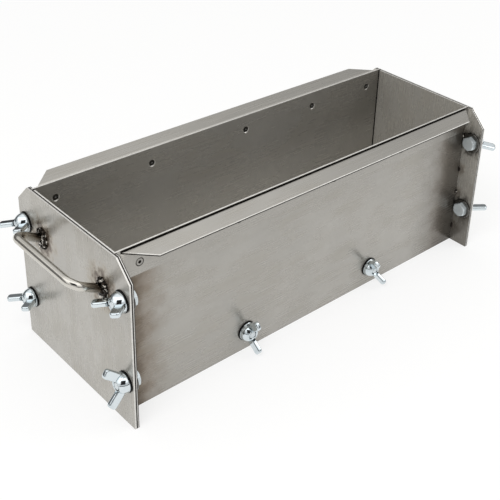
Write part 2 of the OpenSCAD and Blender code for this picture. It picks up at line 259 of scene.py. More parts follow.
SKIN = 0.0003
SHEET_METALLIC = 0.55
SHEET_ROUGH = 0.23
SHEET_WARMTH = 0.075
CREVICE_REACH = 0.005
# Painted shade, for crevices and open joints.
PAINTED_SHADE_DARK = (0.014, 0.012, 0.010)
STRAW = (0.33, 0.26, 0.17)
SCORCH = (0.085, 0.058, 0.040)
STAIN_AND_SHADE = (0.14, 0.088, 0.044)
EAR_SHADE_BROWN = (0.10, 0.078, 0.054)
SOOT_AND_SHADE_BLACK = (0.03, 0.027, 0.023)
SHADE = (0.2, 0.19, 0.17)
EAR_SHADE = (0.13, 0.12, 0.105)
EAR_SHADE_DARK = (0.065, 0.06, 0.052)
EAR_SHADE_PALE = (0.15, 0.14, 0.125)
FOOT_SHADE = (0.10, 0.09, 0.075)
SHEET_STREAK = 0.3
PLATE_STREAK = 0.12
SEAM_HALF = 0.0008
CORNER_SEAM = 0.0012
GROOVE_DEPTH = 0.004
GROOVE_WIDTH = 0.0015
BURR_SHADE_DEPTH = 0.0012
ANGLE_THICK = 0.0026
GRAIN_DEPTH = 0.00001
MOTTLE_DEPTH = 0.00005
ANGLE_BEND = 0.001
ANGLE_FADE_X = 0.2


class Sheet(Shader):
    """Mill-finish sheet: soft clouds, rolling streaks, faint smears and fine grain."""

    def __init__(self, name, tone, rolled, streak=SHEET_STREAK):
        super().__init__(bpy.data.materials.new(name))
        clouds = self.noise(9, detail=4, warp=0.6)
        self.mottle = self.noise(46, along(rolled, 0.45), detail=5, rough=0.6, shift=(3, 1, 2))
        self.streaks = self.noise(420, along(rolled, 0.035), detail=3, shift=(1, 5, 4))
        smear = self.noise(17, along(rolled, 0.5), detail=2, shift=(5, 8, 2), warp=1.2)
        colour = self.mix(self.span(clouds, 0.3, 0.7), self.tone(tone * 0.94), self.tone(tone * 1.06))
        colour = self.mix(self.span(self.mottle, 0.35, 0.68), colour, self.tone(tone * 0.92, 1.3))
        colour = self.mix(self.span(self.streaks, 0.35, 0.75, 0, streak), colour, self.tone(tone * 1.1, 0.6))
        self.colour = self.mix(self.span(smear, 0.6, 0.8, 0, 0.12), colour, self.tone(tone * 0.85, 1.6))
        self.grain = self.noise(1500, along(rolled, 0.05), detail=2, shift=(7, 2, 1))

    def tone(self, value, share=1.0):
        """A grey with that share of the sheet's warmth."""
        return grey(value, SHEET_WARMTH * share)

    def tint(self, places, reach, strength, outer=STRAW, inner=SCORCH, on=1.0):
        """Two rings of colour round places, which are given for one corner and mirror to all."""
        folded = self.vector_math("ABSOLUTE", self.place)
        nearest = self.chain("MINIMUM", [self.vector_math("DISTANCE", folded, tuple(p)) for p in places])
        ragged = self.noise(150, detail=3, shift=(2, 2, 9))
        nearest = self.math("ADD", nearest, self.span(ragged, 0.2, 0.8, -0.25 * reach, 0.25 * reach))
        straw = self.span(nearest, reach, reach * 0.5, 0, strength * 0.45)
        brown = self.span(nearest, reach * 0.75, reach * 0.3, 0, strength)
        self.colour = self.mix(self.math("MULTIPLY", straw, on), self.colour, outer)
        self.colour = self.mix(self.math("MULTIPLY", brown, on), self.colour, inner)

    def band(self, axis, at, reach, strength, colour, on=1.0, ragged=0.1):
        """A band of colour beside the plane at that distance along the axis. Noise makes its edge ragged,
        by that share of its reach."""
        distance = self.math("ABSOLUTE", self.math("SUBTRACT", self.away(axis), at))
        edge = ragged * reach
        wander = self.span(self.noise(60, detail=4, shift=(9, 2, 5)), 0.25, 0.75, -edge, edge)
        depth = self.span(self.math("ADD", distance, wander), reach, 0, 0, strength)
        self.colour = self.mix(self.math("MULTIPLY", depth, on), self.colour, colour)

    def cut_edges(self, axes, tone, rims=()):
        """Brighter where the surface faces along one of the axes, and past the planes in rims."""
        masks = [self.span(self.facing(axis), 0.45, 0.6) for axis in axes]
        for axis, at in rims:
            masks.append(self.math("MULTIPLY", self.past(axis, at), self.span(self.facing(axis), 0.7, 0.9)))
        self.edge = self.chain("MAXIMUM", masks)
        worn = self.span(self.noise(240, detail=3, shift=(3, 9, 1)), 0.3, 0.6, 0.7, 1.0)
        self.colour = self.mix(self.math("MULTIPLY", self.edge, worn), self.colour, self.tone(tone, 0.6))

    def crossed(self):
        """1 at the near right and the far left corners, and 0 at the other two."""
        sides = [self.vector_math("DOT_PRODUCT", self.place, AXES[axis]) for axis in "xy"]
        return self.math("LESS_THAN", self.math("MULTIPLY", *sides), 0.0)

    def between(self, axis, low, high):
        """1 where the distance along the axis lies between the two planes."""
        return self.math("MULTIPLY", self.past(axis, low), self.within(axis, high))

    def black(self, *masks):
        """Painted shade of an open joint, groove or burr, where all the masks are 1."""
        self.colour = self.mix(self.chain("MULTIPLY", masks), self.colour, PAINTED_SHADE_DARK)

    def finish(self):
        """The finished material, with painted shade in its crevices and an uneven gloss."""
        # Painted shade: darker where the space within reach is blocked.
        self.colour = self.mix(self.crevice(CREVICE_REACH), self.colour, PAINTED_SHADE_DARK)
        uneven = self.span(self.mottle, 0.3, 0.7, SHEET_ROUGH - 0.03, SHEET_ROUGH + 0.05)
        rough = self.math("ADD", uneven, self.span(self.streaks, 0.3, 0.7, 0, 0.05))
        relief = self.bump(self.grain, GRAIN_DEPTH, self.bump(self.mottle, MOTTLE_DEPTH))
        return self.metal(self.colour, rough, relief, SHEET_METALLIC)


def wall_steel(tacks):
    """Outside, beside the ears, heat stain under painted shade that is deepest at the crossed corners, where
    it also stands for a painted reflection of the ear, and a painted shade line for the groove under the
    wall's top edge. Inside, a paler foot of painted light bounced off the tray, and painted shade towards
    the ends."""
    sheet = Sheet("wall_steel", 0.37, "x")
    outside = sheet.past("y", WALL_OUT_Y - SKIN)
    inside = sheet.inverse(outside)
    height = sheet.away("z")
    crossed = sheet.crossed()
    # Inside, painted shade towards the ends: on the upper wall, and more widely away from the crossed
    # corners.
    dim = sheet.math("MULTIPLY", inside, sheet.span(height, 0.12, 0.18))
    sheet.band("x", EAR_X, reach=0.16, strength=0.55, colour=SHADE, on=dim)
    shaded = sheet.math("MULTIPLY", inside, sheet.inverse(crossed))
    sheet.band("x", EAR_X, reach=0.24, strength=0.6, colour=SHADE, on=shaded, ragged=0.08)
    # Painted light: the lower inside of the wall is paler, standing for light bounced off the tray.
    bounced_light = sheet.math("MULTIPLY", inside, sheet.span(height, 0.15, 0.09, 0, 0.7))
    sheet.colour = sheet.mix(bounced_light, sheet.colour, sheet.tone(0.46))
    # Outside, below the angle and at the crossed corners: a brown band of heat stain with painted shade,
    # then near the ear a near-black painted shade for its shadow and dark reflection.
    below_angle = sheet.span(height, 0.19, 0.16)
    stain_and_shade = sheet.math("MULTIPLY", outside, sheet.math("MAXIMUM", below_angle, crossed))
    sheet.band("x", EAR_X, reach=0.068, strength=0.9, colour=STAIN_AND_SHADE, on=stain_and_shade, ragged=0.12)
    sheet.tint(tacks, reach=0.027, strength=0.7, on=outside)
    sheet.band("x", EAR_X, reach=0.034, strength=0.95, colour=SOOT_AND_SHADE_BLACK, on=stain_and_shade)
    # Painted shade and painted reflection of the ear, deeper at the crossed corners.
    shaded_by_ear = sheet.math("MULTIPLY", outside, crossed)
    sheet.band("x", EAR_X, reach=0.05, strength=0.85, colour=EAR_SHADE_DARK, on=shaded_by_ear)
    sheet.band("x", EAR_X, reach=0.11, strength=0.8, colour=EAR_SHADE, on=shaded_by_ear, ragged=0.05)
    # Painted shade in the open joint at the inner corner beside the ear.
    sheet.black(inside, sheet.past("x", EAR_X - CORNER_SEAM))
    sheet.cut_edges("xz", 0.82)
    # Painted shade for the groove under the wall's top edge, beside the angle.
    groove = sheet.between("z", ANGLE_HIGH.z - GROOVE_DEPTH, WALL_TOP_Z - SKIN)
    sheet.black(outside, groove, sheet.within("x", ANGLE_HIGH.x))
    return sheet.finish()


def tray_steel():
    sheet = Sheet("tray_steel", 0.50, "x")
    sheet.cut_edges("x", 0.5)
    return sheet.finish()


def angle_steel():
    """Paler flanges that dull to the right, darker upright legs with painted shade beside the ears at the
    crossed corners, and lines of painted shade along the joint with the wall and low on each cut edge.
    """
    sheet = Sheet("angle_steel", 0.48, "x")
    right = sheet.vector_math("DOT_PRODUCT", sheet.place, AXES["x"])
    fade = sheet.span(right, -ANGLE_FADE_X, ANGLE_FADE_X, 0, 0.5)
    sheet.colour = sheet.mix(fade, sheet.colour, sheet.tone(0.3))
    upright = sheet.span(sheet.facing("y"), 0.7, 0.9)
    leg = sheet.math("MULTIPLY", upright, sheet.within("y", ANGLE_HIGH.y - ANGLE_BEND))
    sheet.colour = sheet.mix(leg, sheet.colour, sheet.tone(0.37))
    # Painted shade beside the ears on the upright legs, at the crossed corners.
    shaded_by_ear = sheet.math("MULTIPLY", leg, sheet.crossed())
    sheet.band("x", EAR_X, reach=0.06, strength=0.9, colour=EAR_SHADE_BROWN, on=shaded_by_ear, ragged=0.15)
    sheet.band("x", EAR_X, reach=0.12, strength=0.6, colour=EAR_SHADE_PALE, on=shaded_by_ear, ragged=0.05)
    sheet.cut_edges("x", 0.8, rims=[("y", ANGLE_HIGH.y - SKIN)])
    # Low on each cut edge, a dark burr line with painted shade.
    under = sheet.between("z", ANGLE_HIGH.z - ANGLE_THICK, ANGLE_HIGH.z - BURR_SHADE_DEPTH)
    # Painted shade for the groove where the flange meets the wall.
    sheet.black(sheet.past("z", ANGLE_HIGH.z - SKIN), sheet.within("y", WALL_OUT_Y + GROOVE_WIDTH))
    sheet.black(sheet.edge, under)
    return sheet.finish()


def ear_steel(tacks, bolts):
    """Heat stain at the tack welds, a sooty ring round each bolt deepened by painted shade, and painted
    shade that darkens its foot.
    """
    sheet = Sheet("ear_steel", 0.5, "z")
    sheet.tint(tacks, reach=0.014, strength=0.5)
    # A sooty ring round each bolt, with painted contact shade round its washer.
    sheet.tint(bolts, reach=0.028, strength=0.9, outer=SHADE, inner=SOOT_AND_SHADE_BLACK)
    # Painted shade, darker towards the foot of the ear, for the shaded floor that it mirrors.
    sheet.band("z", 0, reach=0.12, strength=0.85, colour=FOOT_SHADE)
    sheet.cut_edges("yz", 0.55)
    # Painted shade of the open joint at the end plate, and of the burr along the ear's inner edge.
    sheet.black(sheet.edge, sheet.past("x", PLATE_LOW.x - SEAM_HALF))
    sheet.black(sheet.edge, sheet.within("x", EAR_X + SEAM_HALF))
    return sheet.finish()


def end_steel(legs):
    """Calm sheet with a scorched ring round each leg of the handle."""
    sheet = Sheet("end_steel", 0.405, "z", PLATE_STREAK)
    sheet.tint(legs, reach=0.033, strength=0.9)
    sheet.cut_edges("yz", 0.68)
    # Painted shade of the open joint between plate and liner.
    sheet.black(sheet.edge, sheet.within("x", PLATE_LOW.x + SEAM_HALF))
    return sheet.finish()


def liner_steel():
    sheet = Sheet("liner_steel", 0.535, "z", PLATE_STREAK)
    sheet.cut_edges("yz", 0.82)
    # Painted shade of the open joint between liner and plate.
    sheet.black(sheet.edge, sheet.past("x", PLATE_LOW.x - SEAM_HALF))
    return sheet.finish()


# Small-part metals

ZINC_CREVICE = 0.0016
ZINC_SHADE = (0.020, 0.030, 0.034)
ZINC_BLUE = 0.08


def zinc(name, tone, rough, metallic=1.0):
    """Bright zinc plate with a cool cast, slightly uneven, and darkened by painted shade where it is out of
    reach.
    """
    s = Shader(bpy.data.materials.new(name))
    uneven = s.noise(260, detail=4)
    stain = s.span(s.noise(120, detail=3, shift=(4, 4, 1)), 0.5, 0.75)
    colour = s.mix(stain, grey(tone, -ZINC_BLUE), grey(tone * 0.88, -ZINC_BLUE * 1.3))
    # Painted shade in the crevices of nuts and bolts.
    colour = s.mix(s.crevice(ZINC_CREVICE), colour, ZINC_SHADE)
    rough = s.span(uneven, 0.3, 0.7, rough - 0.02, rough + 0.05)
    return s.metal(colour, rough, s.bump(uneven, depth=0.00002), metallic)


def dark_metal(name, tone, warmth, rough):
    """Dull, patchy metal, darkened by painted shade in its crevices."""
    s = Shader(bpy.data.materials.new(name))
    patches = s.noise(600, detail=4)
    colour = s.mix(s.span(patches, 0.35, 0.7), grey(tone * 0.7, warmth), grey(tone * 1.4, warmth))
    # Painted shade in crevices.
    colour = s.mix(s.crevice(ZINC_CREVICE), colour, PAINTED_SHADE_DARK)
    return s.metal(colour, rough, s.bump(patches, depth=0.00003))


RIVET_RIM_R = 0.0037
RIVET_CORE_R = 0.0021
RIVET_STUB_R = 0.0012
RIVET_SINK = 0.0005
RIVET_GAP_SHADE = (0.03, 0.026, 0.022)
RIVET_BLACK = (0.022, 0.020, 0.018)
RIVET_DULL = (0.06, 0.056, 0.05)


def rivet_metal(places):
    """Bright heads on the outside, each with a dark rim and core that are painted shade of the gap round it
    and of its hole, and near-black heads inside that are painted shade of the recesses.
    """
    s = Shader(bpy.data.materials.new("rivet_metal"))
    across = s.vector_math("MULTIPLY", s.place, (1, 0, 1))
    radius = s.chain("MINIMUM", [s.vector_math("DISTANCE", across, (p.x, 0, p.z)) for p in places])
    # Painted shade: a dark ring at the gap round each head and a dark core for its hole.
    rim = s.span(radius, RIVET_RIM_R - 0.0002, RIVET_RIM_R + 0.0002)
    core = s.span(radius, RIVET_CORE_R, RIVET_CORE_R - 0.0004)
    head = s.mix(s.math("MAXIMUM", rim, core), grey(0.34, SHEET_WARMTH), RIVET_GAP_SHADE)
    # Inside, the heads are painted as shaded recesses, near-black, with a paler stub in the middle.
    inner = s.span(s.away("y"), WALL_OUT_Y, WALL_OUT_Y - RIVET_SINK)
    uneven = s.noise(500, detail=4)
    dull = s.mix(s.span(uneven, 0.3, 0.7), RIVET_BLACK, RIVET_DULL)
    stub = s.math("MULTIPLY", inner, s.span(radius, RIVET_STUB_R, RIVET_STUB_R - 0.0003))
    colour = s.mix(inner, head, dull)
    colour = s.mix(stub, colour, grey(0.24))
    return s.metal(colour, 0.36, s.bump(uneven, depth=0.00004), metallic=0.7)


SCALE_BLACK = (0.008, 0.007, 0.006)
SCALE_BROWN = (0.05, 0.034, 0.024)
SPATTER_AND_GLINT = (0.55, 0.52, 0.47)


def weld_metal():
    """Black scale with a gloss, a little brown, and bright spots here and there, partly spatter and partly
    painted glints.
    """
    s = Shader(bpy.data.materials.new("weld_metal"))
    lumps = s.noise(700, detail=5, rough=0.65)
    colour = s.mix(s.span(lumps, 0.45, 0.7), SCALE_BLACK, SCALE_BROWN)
    # Bright spots, partly spatter and partly painted glints on the drops, with a lower roughness.
    bright = s.span(s.noise(260, detail=2, shift=(6, 1, 3)), 0.54, 0.60)
    colour = s.mix(bright, colour, SPATTER_AND_GLINT)
    rough = s.span(bright, 0, 1, 0.3, 0.16)
    return s.metal(colour, rough, s.bump(lumps, depth=0.0002), metallic=0.9)


BAR_SCORCH = (0.075, 0.056, 0.040)
BAR_SCORCH_NEAR = 0.004
BAR_SCORCH_FAR = 0.024


def bar_steel():
    """Drawn round bar: even and satin, rubbed here and there, and scorched where it meets the plate."""
    s = Shader(bpy.data.materials.new("bar_steel"))
    rub = s.noise(40, (1, 0.5, 1), detail=3, warp=0.4)
    lines = s.noise(1100, (1, 0.04, 1), detail=3)
    colour = s.mix(s.span(rub, 0.3, 0.7), grey(0.60, 0.08), grey(0.52, 0.1))
    scorch = s.span(s.away("x"), PLATE_HIGH.x + BAR_SCORCH_FAR, PLATE_HIGH.x + BAR_SCORCH_NEAR, 0, 0.85)
    colour = s.mix(scorch, colour, BAR_SCORCH)
    rough = s.span(rub, 0.3, 0.7, 0.16, 0.21)
    return s.metal(colour, rough, s.bump(lines, depth=0.00001))


# Mesh helpers

SMOOTH_ANGLE = 35
MERGE_DISTANCE = 1e-5


def new_piece(name, mesh, material, body, slot, *replaced):
    """A visible piece that rides on a body and takes the place of the replaced nodes."""
    piece = bpy.data.objects.new(name, mesh)
    bpy.context.scene.collection.objects.link(piece)
    if not mesh.materials:
        mesh.materials.append(material)
    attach(piece, body)
    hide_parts(*replaced)
    return piece


def mesh_from(name, bm, smooth_angle=SMOOTH_ANGLE):
    """A mesh in metres from a bmesh in millimetres, smooth apart from edges sharper than the angle."""
    bmesh.ops.remove_doubles(bm, verts=bm.verts, dist=MERGE_DISTANCE)
    bmesh.ops.recalc_face_normals(bm, faces=bm.faces)
    bmesh.ops.scale(bm, vec=(MM, MM, MM), verts=bm.verts)
    limit = math.radians(smooth_angle)
    for face in bm.faces:
        face.smooth = True
    for edge in bm.edges:
        edge.smooth = len(edge.link_faces) == 2 and edge.calc_face_angle(0) < limit
    mesh = bpy.data.meshes.new(name)
    bm.to_mesh(mesh)
    bm.free()
    return mesh


def applied(piece):
    """The piece's mesh with its modifiers applied. The piece itself is deleted."""
    depsgraph = bpy.context.evaluated_depsgraph_get()
    mesh = bpy.data.meshes.new_from_object(piece.evaluated_get(depsgraph))
    bpy.data.objects.remove(piece)
    return mesh


def ring_of(bm, place, radius, height, steps):
    """A circle of vertices round +Z, at that height."""
    turns = [2 * math.pi * k / steps for k in range(steps)]
    points = [Vector((radius * math.cos(turn), radius * math.sin(turn), height)) for turn in turns]
    return [bm.verts.new(place @ point) for point in points]


def join_rings(bm, rings, closed_rows=False):
    """Faces between rings of vertices, each ring with the same count."""
    pairs = list(zip(rings, rings[1:]))
    if closed_rows:
        pairs.append((rings[-1], rings[0]))
    for low, high in pairs:
        for k in range(len(low)):
            m = (k + 1) % len(low)
            bm.faces.new((low[k], low[m], high[m], high[k]))


def lathe(bm, profile, steps, place=Matrix.Identity(4), closed=True):
    """Turns (radius, height) points round +Z. A closed profile makes a ring, an open one is capped."""
    rings = [ring_of(bm, place, radius, height, steps) for radius, height in profile]
    join_rings(bm, rings, closed_rows=closed)
    if not closed:
        bm.faces.new(list(reversed(rings[0])))
        bm.faces.new(rings[-1])


def rounded(profile, radius, steps=3):
    """The closed profile with each corner replaced by a small arc."""
    out = []
    for k, point in enumerate(profile):
        corner = Vector(point)
        before = (Vector(profile[k - 1]) - corner).normalized()
        after = (Vector(profile[(k + 1) % len(profile)]) - corner).normalized()
        half = before.angle(after) / 2
        reach = radius / math.tan(half)
        centre = corner + (before + after).normalized() * radius / math.sin(half)
        first = corner + before * reach - centre
        last = corner + after * reach - centre
        out += [tuple(centre + first.slerp(last, step / steps, first)) for step in range(steps + 1)]
    return out


def frame_at(place, axis, towards=None):
    """A matrix with local +Z along the axis at that place (metres), in millimetre units."""
    z = Vector(axis).normalized()
    side = Vector(towards) if towards is not None else Vector((0, 0, 1)).cross(z)
    x = (side - z * side.dot(z)).normalized()
    y = z.cross(x)
    turn = Matrix((x, y, z)).transposed().to_4x4()
    return Matrix.Translation(Vector(place) / MM) @ turn


# Welds

WELD_GRAIN = 420
WELD_OCTAVES = 4
LEG_VOXEL = 0.0005
LEG_RELIEF = 0.0007
TACK_VOXEL = 0.0003
TACK_RELIEF = 0.0004


def add_weld(name, node, body, material, voxel, relief):
    """Replaces a node of welds with its own form, remeshed fine and roughened into drops and ripples."""
    blank = bpy.data.objects.new(name, NODES[node].data.copy())
    bpy.context.scene.collection.objects.link(blank)
    blank.data.materials.clear()
    remesh = blank.modifiers.new("remesh", "REMESH")
    remesh.mode = "VOXEL"
    remesh.voxel_size = voxel
    remesh.use_smooth_shade = True
    mesh = applied(blank)
    for vertex, normal in [(v, v.normal.copy()) for v in mesh.vertices]:
        vertex.co += normal * relief * noise.fractal(vertex.co * WELD_GRAIN, 1.0, 2.0, WELD_OCTAVES)
    new_piece(name, mesh, material, body, "weld_metal", node)


# Bolts and washers

BOLT_R = 4.9
BOLT_PITCH = 1.5
BOLT_CUT = 0.85
BOLT_TIP = 1.4
TIP_SLOPE = 0.75
TIP_DISH_R = 2.4
TIP_DISH = 0.35
THREAD_STEPS = 32
THREAD_PROFILE = ((0.0, 0.0), (0.08, 0.0), (0.42, 1.0), (0.58, 1.0), (0.92, 0.0))
HEAD_AF = 17.0
HEAD_FACE_R = 8.0
HEAD_STEPS = 72
HEAD_CHAMFER = 30
HEX_TURN = math.pi / 3
BOLT_CREASE = 20
WASHER_BORE_R = 5.3
WASHER_ROUND = 0.4
WASHER_STEPS = 64
END_SPACER_R = 12.8
UNSCREW = "unscrew_"


def thread(bm, place, low, high):
    """A rod from low to high along +Z with a helical thread and a tapered, dished tip.
    Each row climbs one pitch in a turn, and its end joins the start of the row one turn up."""
    rows = []
    for turn in range(-1, int((high - low) / BOLT_PITCH) + 1):
        for at, depth in THREAD_PROFILE:
            row = []
            for k in range(THREAD_STEPS):
                z = min(max(low + BOLT_PITCH * (turn + at + k / THREAD_STEPS), low), high)
                run_out = min(1.0, (z - low) / BOLT_PITCH)
                taper = max(0.0, z - (high - BOLT_TIP)) * TIP_SLOPE
                radius = min(BOLT_R - BOLT_CUT * depth * run_out, BOLT_R - taper)
                angle = 2 * math.pi * k / THREAD_STEPS
                point = Vector((radius * math.cos(angle), radius * math.sin(angle), z))
                row.append(bm.verts.new(place @ point))
            rows.append(row)
    for under, over in zip(rows, rows[1:]):
        for k in range(THREAD_STEPS - 1):
            bm.faces.new((under[k], under[k + 1], over[k + 1], over[k]))
    turn_rows = len(THREAD_PROFILE)
    for n in range(len(rows) - 1 - turn_rows):
        bm.faces.new((rows[n][-1], rows[n + turn_rows][0], rows[n + turn_rows + 1][0], rows[n + 1][-1]))
    rim = ring_of(bm, place, BOLT_R - BOLT_TIP * TIP_SLOPE, high, THREAD_STEPS)
    dish = ring_of(bm, place, TIP_DISH_R, high - TIP_DISH, THREAD_STEPS)
    join_rings(bm, [rim, dish])
    bm.faces.new(dish)


def hex_head(bm, place, height):
    """The head lies below z = 0, and a shallow cone turns off its corners on the outer side. The angle
    off is counted from the middle of the nearest flat."""
    seat, shoulder = [], []
    for k in range(HEAD_STEPS):
        turn = 2 * math.pi * k / HEAD_STEPS
        off = (turn + HEX_TURN / 2) % HEX_TURN - HEX_TURN / 2
        radius = HEAD_AF / 2 / math.cos(off)
        drop = (radius - HEAD_FACE_R) * math.tan(math.radians(HEAD_CHAMFER))
        x, y = radius * math.cos(turn), radius * math.sin(turn)
        seat.append(bm.verts.new(place @ Vector((x, y, 0))))
        shoulder.append(bm.verts.new(place @ Vector((x, y, drop - height))))
    face = ring_of(bm, place, HEAD_FACE_R, -height, HEAD_STEPS)
    join_rings(bm, [face, shoulder, seat])
    bm.faces.new(list(reversed(face)))
    bm.faces.new(seat)


def add_washer(bm, place, thick, outer):
    """A washer on z = 0, with softened edges."""
    profile = [(WASHER_BORE_R, 0), (outer, 0), (outer, thick), (WASHER_BORE_R, thick)]
    lathe(bm, rounded(profile, WASHER_ROUND), WASHER_STEPS, place)


def reach(node, axis):
    """How far a node reaches along a signed axis, low and high, in millimetres."""
    ends = [Vector(axis).dot(corner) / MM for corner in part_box(node)]
    return min(ends), max(ends)


def washer_radius(node):
    low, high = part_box(node)
    return (high - low).z / 2 / MM


def nut_joints():
    """Each wing nut's place in the mould, and the axis and position of its joint."""
    for name, joint in JOINTS.items():
        if name.startswith(UNSCREW):
            yield name[len(UNSCREW):], Vector(joint["axis"]), Vector(joint["pos_m"])


def bolt_places(group):
    """Axes and places of the bolts of one end or side, each place on the axis nearest the middle."""
    for place, axis, spot in nut_joints():
        if place.startswith(group + "_"):
            yield axis, spot - axis * axis.dot(spot), "washer_" + place


def add_bolts(group, material):
    """Replaces one node of bolts, and the node of washers under their heads."""
    bolts, washers = bmesh.new(), bmesh.new()
    on_side = group in ("near", "far")
    bolt_node = ("side_bolts_" if on_side else "end_bolts_") + group
    washer_node = "head_washers_" + group
    for axis, spot, outer_washer in bolt_places(group):
        head, tip = reach(bolt_node, axis)
        seat, bearing = reach(washer_node, axis)
        radius = washer_radius(outer_washer) if on_side else END_SPACER_R
        at = frame_at(spot, axis)
        seated = at @ Matrix.Translation((0, 0, seat))
        hex_head(bolts, seated, seat - head)
        thread(bolts, at, seat, tip)
        add_washer(washers, seated, bearing - seat, radius)
    new_piece("bolts_" + group, mesh_from("bolts_" + group, bolts, BOLT_CREASE), material["bolt"], "frame",
              "bolt_zinc", bolt_node)
    new_piece("spacers_" + group, mesh_from("spacers_" + group, washers), material["spacer"], "frame",
              "washer_metal", washer_node)


# Wing nuts

HUB_BASE_R = 11.25
HUB_RIM = 1.2
HUB_RIM_BEVEL = 0.3
HUB_FLAT_R = 7.0
HUB_H = 10.2
HUB_BELL_R = 14.4
HUB_BELL_AT = Vector((-3.2, 0.0))
HUB_BELL_TURNS = (5, 45)
HUB_TOP_STEP = 0.1
HUB_STEPS = 72
BORE_R = 5.0
BORE_CHAMFER = 0.6
WING_T = 5.4
WING_W = 10.5
WING_L = 19.0
WING_ROOT = (8.0, 6.0)
WING_LEAN = 50.0
WING_CORNER = 3.5
WING_EDGE_R = 1.6
WING_EDGE_STEPS = 4
WING_SINK = 3.0
ARC_STEPS = 8
FLAT_MARGIN = 0.05


def arc(low, high, steps=ARC_STEPS):
    """Angles in radians, evenly from low to high degrees."""
    return [math.radians(low + (high - low) * step / steps) for step in range(steps + 1)]


def wing_outline(inset):
    """One wing's outline, drawn in by inset, with distance from the axis as x and height as y."""
    lean = Matrix.Rotation(math.radians(WING_LEAN), 2)
    half, corner = WING_W / 2 - inset, WING_CORNER - inset
    points = [Vector((-WING_SINK, -half))]
    for side, low in ((-1, -90), (1, 0)):
        centre = Vector((WING_L - WING_CORNER, side * (WING_W / 2 - WING_CORNER)))
        points += [centre + corner * Vector((math.cos(turn), math.sin(turn))) for turn in arc(low, low + 90)]
    points.append(Vector((-WING_SINK, half)))
    return [Vector(WING_ROOT) + lean @ point for point in points]


def add_wing(bm, side):
    """One wing, a flat tongue whose edges are rounded across its thickness."""
    flat = WING_T / 2 - WING_EDGE_R
    layers = [(WING_EDGE_R + FLAT_MARGIN, WING_T / 2)]
    layers += [(WING_EDGE_R * (1 - math.sin(turn)), flat + WING_EDGE_R * math.cos(turn))
               for turn in arc(0, 90, WING_EDGE_STEPS)]
    layers += [(inset, -depth) for inset, depth in reversed(layers)]
    rings = [[bm.verts.new((side * point.x, depth, point.y)) for point in wing_outline(inset)]
             for inset, depth in layers]
    join_rings(bm, rings)
    bm.faces.new(list(reversed(rings[0])))
    bm.faces.new(rings[-1])


def turned(name, profile):
    """A solid turned round +Z, to join to another or cut from it."""
    bm = bmesh.new()
    lathe(bm, profile, HUB_STEPS, closed=False)
    bmesh.ops.recalc_face_normals(bm, faces=bm.faces)
    return made(name, bm)


def made(name, bm):
    """A bare object from a bmesh, with no body of its own."""
    mesh = bpy.data.meshes.new(name)
    bm.to_mesh(mesh)
    bm.free()
    piece = bpy.data.objects.new(name, mesh)
    bpy.context.scene.collection.objects.link(piece)
    return piece


def nut_mesh():
    """One wing nut: a bell-shaped hub on a thin rim, two wings fused to it, and a bore."""
    inner, top = HUB_BASE_R - HUB_RIM_BEVEL, HUB_RIM - HUB_RIM_BEVEL
    rim = [(inner, 0), (HUB_BASE_R, HUB_RIM_BEVEL), (HUB_BASE_R, top), (inner, HUB_RIM)]
    bell = [tuple(HUB_BELL_AT + HUB_BELL_R * Vector((math.cos(turn), math.sin(turn))))
            for turn in arc(*HUB_BELL_TURNS)]
    flared = BORE_R + 2 * BORE_CHAMFER
    wings = bmesh.new()
    for side in (-1, 1):
        add_wing(wings, side)
    bmesh.ops.recalc_face_normals(wings, faces=wings.faces)
    blank = made("nut_wings", wings)
    above = turned("nut_top", [(HUB_FLAT_R, HUB_H), (HUB_FLAT_R, HUB_H + WING_L)])
    hub = turned("nut_hub", rim + bell + [(HUB_FLAT_R - HUB_TOP_STEP, HUB_H)])
    bore = turned("nut_bore", [
        (flared, -BORE_CHAMFER), (BORE_R, BORE_CHAMFER), (BORE_R, HUB_H - BORE_CHAMFER),
        (flared, HUB_H + BORE_CHAMFER)])
    for operation, tool in (("DIFFERENCE", above), ("UNION", hub), ("DIFFERENCE", bore)):
        cut = blank.modifiers.new(tool.name, "BOOLEAN")
        cut.operation = operation
        cut.object = tool
    mesh = bmesh.new()
    mesh.from_mesh(applied(blank))
    for tool in (above, hub, bore):
        bpy.data.objects.remove(tool)
    return mesh_from("wing_nut", mesh)


def wing_direction(node, place, axis):
    """The direction of a nut's wings, from the spread of the node's own vertices round its axis."""
    x = Vector((0, 0, 1)).cross(axis).normalized()
    y = axis.cross(x)
    offsets = [vertex.co - place for vertex in NODES[node].data.vertices]
    flat = [(offset.dot(x), offset.dot(y)) for offset in offsets]
    spread = sum(a * a - b * b for a, b in flat)
    shear = sum(2 * a * b for a, b in flat)
    angle = 0.5 * math.atan2(shear, spread)
    return x * math.cos(angle) + y * math.sin(angle)


def add_nuts(material):
    """Replaces each wing nut, all from one mesh, and the washer under it."""
    mesh = nut_mesh()
    mesh.materials.append(material["nut"])
    for place, axis, spot in nut_joints():
        nut, washer, disc = "wing_nut_" + place, "washer_" + place, "disc_" + place
        inner, outer = reach(washer, axis)
        at = frame_at(spot - axis * axis.dot(spot), axis, wing_direction(nut, spot, axis))
        piece = new_piece("nut_" + place, mesh, material["nut"], nut, "nut_zinc", nut)
        seat = at @ Matrix.Translation((0, 0, outer))
        seat.translation *= MM
        piece.matrix_world = seat
        bm = bmesh.new()
        add_washer(bm, at @ Matrix.Translation((0, 0, inner)), outer - inner, washer_radius(washer))
        new_piece(disc, mesh_from(disc, bm), material["washer"], washer, "washer_metal", washer)


# Studio: floor, background and lamps

